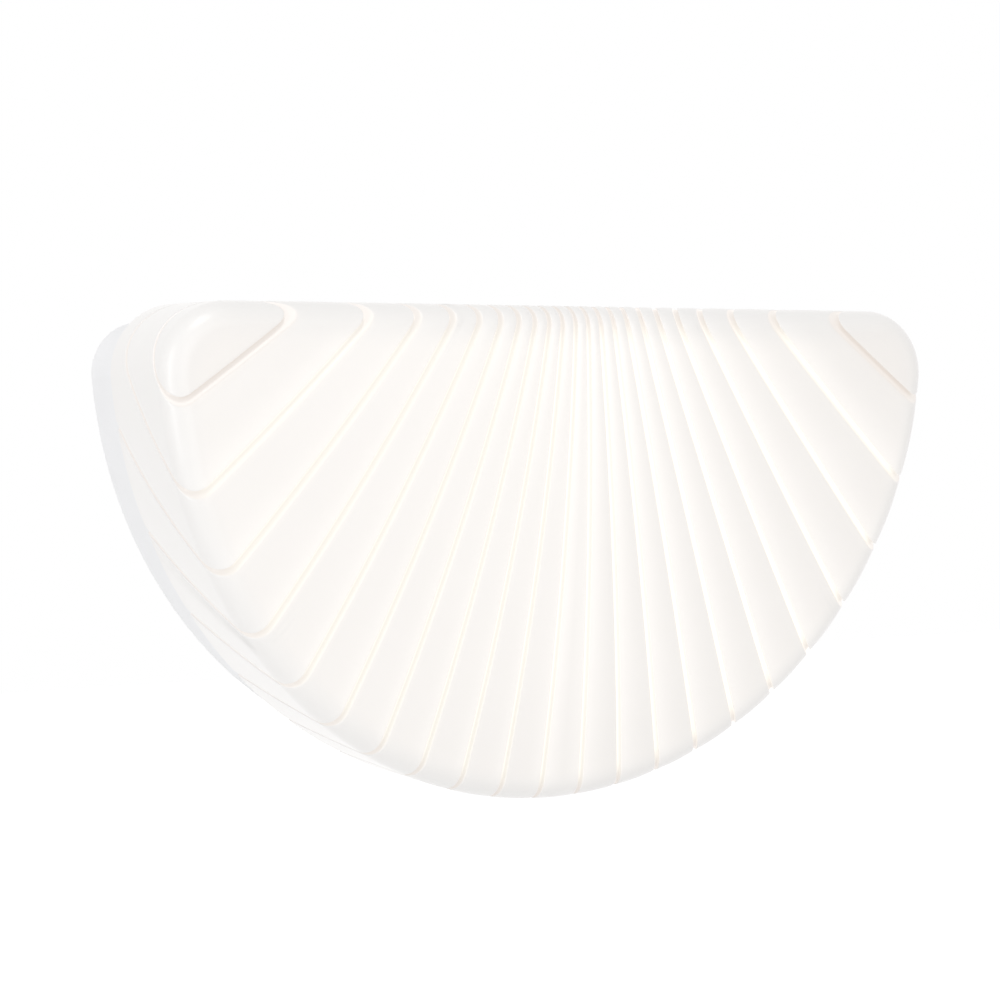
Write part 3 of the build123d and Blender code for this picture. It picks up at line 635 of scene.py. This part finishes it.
def lit_shade(name, colour):
    """Translucent white plastic lit from inside. A slot thins it, so the slot's floor shines, and
    the light spreads a little into the slices beside it; the bottom and rim are dimmer."""
    made, tree, shader = new_material(name)
    place = node(tree, "TexCoord").outputs["Object"]
    split = node(tree, "SeparateXYZ", Vector=place)
    distance = beyond_slot(tree, split)
    depth, lit, front = (node(tree, "Attribute", {"attribute_name": name}).outputs["Fac"]
                         for name in ("depth", "lit", "front"))
    wall = ramp(tree, depth, *WALL_DEPTH)
    floor = ramp(tree, depth, *FLOOR_DEPTH)
    cloudy = ramp(tree, noise(tree, OPAL_CLOUD), *NOISE_SPAN)
    skin = blend_colours(tree, cloudy, [c * SKIN * OPAL_CLOUD_SHARE for c in colour],
                         [c * SKIN for c in colour])
    # in a slot the reflected colour is darkened: painted shade in the recess
    skin = blend_colours(tree, wall, skin, [c * SHADED_SLOT_SKIN for c in colour])
    feed(tree, shader.inputs["Base Color"], skin)
    spread = math_node(tree, "EXPONENT", math_node(tree, "DIVIDE", distance, -SPREAD))
    spread = math_node(tree, "MULTIPLY", math_node(tree, "MULTIPLY", spread, SPREAD_GLOW), lit)
    face = math_node(tree, "ADD", spread, blend(tree, front, *FACE_GLOW))
    strength = blend(tree, wall, face, blend(tree, lit, *WALL_GLOW))
    # where unlit, the floor's lower and warmer glow is painted shade at the foot of a slot
    strength = blend(tree, floor, strength, blend(tree, lit, *FLOOR_GLOW))
    tint = blend_colours(tree, wall, blend_colours(tree, front, *FACE_TINT),
                         blend_colours(tree, lit, *WALL_TINT))
    tint = blend_colours(tree, floor, tint, blend_colours(tree, lit, *FLOOR_TINT))
    feed(tree, shader.inputs["Emission Color"], tint)
    drop = ramp(tree, split.outputs["Z"], *LOW_REACH, LOW_SHARE, 1.0)
    feed(tree, shader.inputs["Emission Strength"], math_node(tree, "MULTIPLY", strength, drop))
    feed(tree, shader.inputs["Roughness"],
         ramp(tree, noise(tree, OPAL_GLOSS_CLOUD), *GLOSS_SPAN, *OPAL_ROUGHNESS))
    return made


def dress_nodes():
    """Every node of the part in its slot's finish."""
    finishes = {}
    for entry in frame["record"]["materials"]:
        name, colour = entry["slot"], entry["base_color"][:3]
        if name == "opal":
            finishes[name] = lit_shade(name, colour)
        elif name == "phosphor":
            finishes[name] = lamp_surface(name, colour)
        else:
            finishes[name] = surface(name, colour, **FINISHES.get(name, OTHER_FINISH))
    for entry in frame["record"]["subparts"]:
        data = frame["nodes"][entry["node"]].data
        data.materials.clear()
        data.materials.append(finishes[entry["material_slot"]])
    return finishes


# ---- stage, light and camera --------------------------------------------------------------------
def seen_directly(tree):
    """1 where the camera sees the stage, straight or by way of gloss or glass, and 0 elsewhere."""
    rays = node(tree, "LightPath").outputs
    seen = math_node(tree, "MAXIMUM", rays["Is Camera Ray"], rays["Is Transmission Ray"])
    return math_node(tree, "MAXIMUM", seen, rays["Is Glossy Ray"])


def make_world():
    """Soft light from all round, and white where the camera looks past the light."""
    world = bpy.data.worlds.new("studio")
    bpy.context.scene.world = world
    world.use_nodes = True
    tree = world.node_tree
    tree.nodes.clear()
    soft = node(tree, "Background", Color=WHITE, Strength=WORLD_LIGHT)
    white = node(tree, "Background", Color=WHITE, Strength=1.0)
    mixed = node(tree, "MixShader")
    feed(tree, mixed.inputs[0], seen_directly(tree))
    feed(tree, mixed.inputs[1], soft.outputs[0])
    feed(tree, mixed.inputs[2], white.outputs[0])
    out = node(tree, "OutputWorld")
    feed(tree, out.inputs["Surface"], mixed.outputs[0])


def make_floor():
    """A wide pale floor below the light, which keeps the light's shadow."""
    mesh = bmesh.new()
    bmesh.ops.create_grid(mesh, x_segments=1, y_segments=1, size=FLOOR_SIZE)
    bmesh.ops.translate(mesh, verts=mesh.verts, vec=(0, 0, FLOOR_LEVEL))
    data = bpy.data.meshes.new("floor")
    mesh.to_mesh(data)
    mesh.free()
    floor = bpy.data.objects.new("floor", data)
    bpy.context.scene.collection.objects.link(floor)
    made, tree, shader = new_material("floor_paint")
    shader.inputs["Base Color"].default_value = FLOOR_COLOUR
    shader.inputs["Roughness"].default_value = FLOOR_ROUGHNESS
    lift = math_node(tree, "MULTIPLY", seen_directly(tree), FLOOR_LIFT)
    glow = node(tree, "Emission", Color=WHITE, Strength=lift)
    added = node(tree, "AddShader")
    feed(tree, added.inputs[0], shader.outputs[0])
    feed(tree, added.inputs[1], glow.outputs[0])
    feed(tree, tree.nodes["Material Output"].inputs["Surface"], added.outputs[0])
    data.materials.append(made)


def add_area_light(name, place, size, power):
    """A rectangular light of that width and height, turned to the origin."""
    light = bpy.data.lights.new(name, "AREA")
    light.shape = "RECTANGLE"
    light.size, light.size_y = size
    light.energy = power
    holder = bpy.data.objects.new(name, light)
    holder.location = place
    holder.rotation_euler = (-Vector(place)).to_track_quat("-Z", "Y").to_euler()
    bpy.context.scene.collection.objects.link(holder)


def make_camera():
    """The photo's camera."""
    camera = bpy.data.cameras.new("camera")
    camera.sensor_width = CAMERA_SENSOR
    camera.lens = CAMERA_SENSOR * CAMERA_FOCAL
    camera.clip_start = CAMERA_NEAR
    holder = bpy.data.objects.new("camera", camera)
    holder.location = CAMERA_PLACE
    aim = Vector(CAMERA_AIM) - Vector(CAMERA_PLACE)
    holder.rotation_euler = aim.to_track_quat("-Z", "Y").to_euler()
    bpy.context.scene.collection.objects.link(holder)
    bpy.context.scene.camera = holder


finishes = dress_nodes()
shade_shell = make_shade()
shade_shell.data.materials.append(finishes["opal"])
make_posts().data.materials.append(finishes["opal"])

make_world()
make_floor()
for light_name, (place, size, power) in LIGHTS.items():
    add_area_light(light_name, place, size, power)
make_camera()
bpy.context.scene.view_settings.view_transform = "Standard"
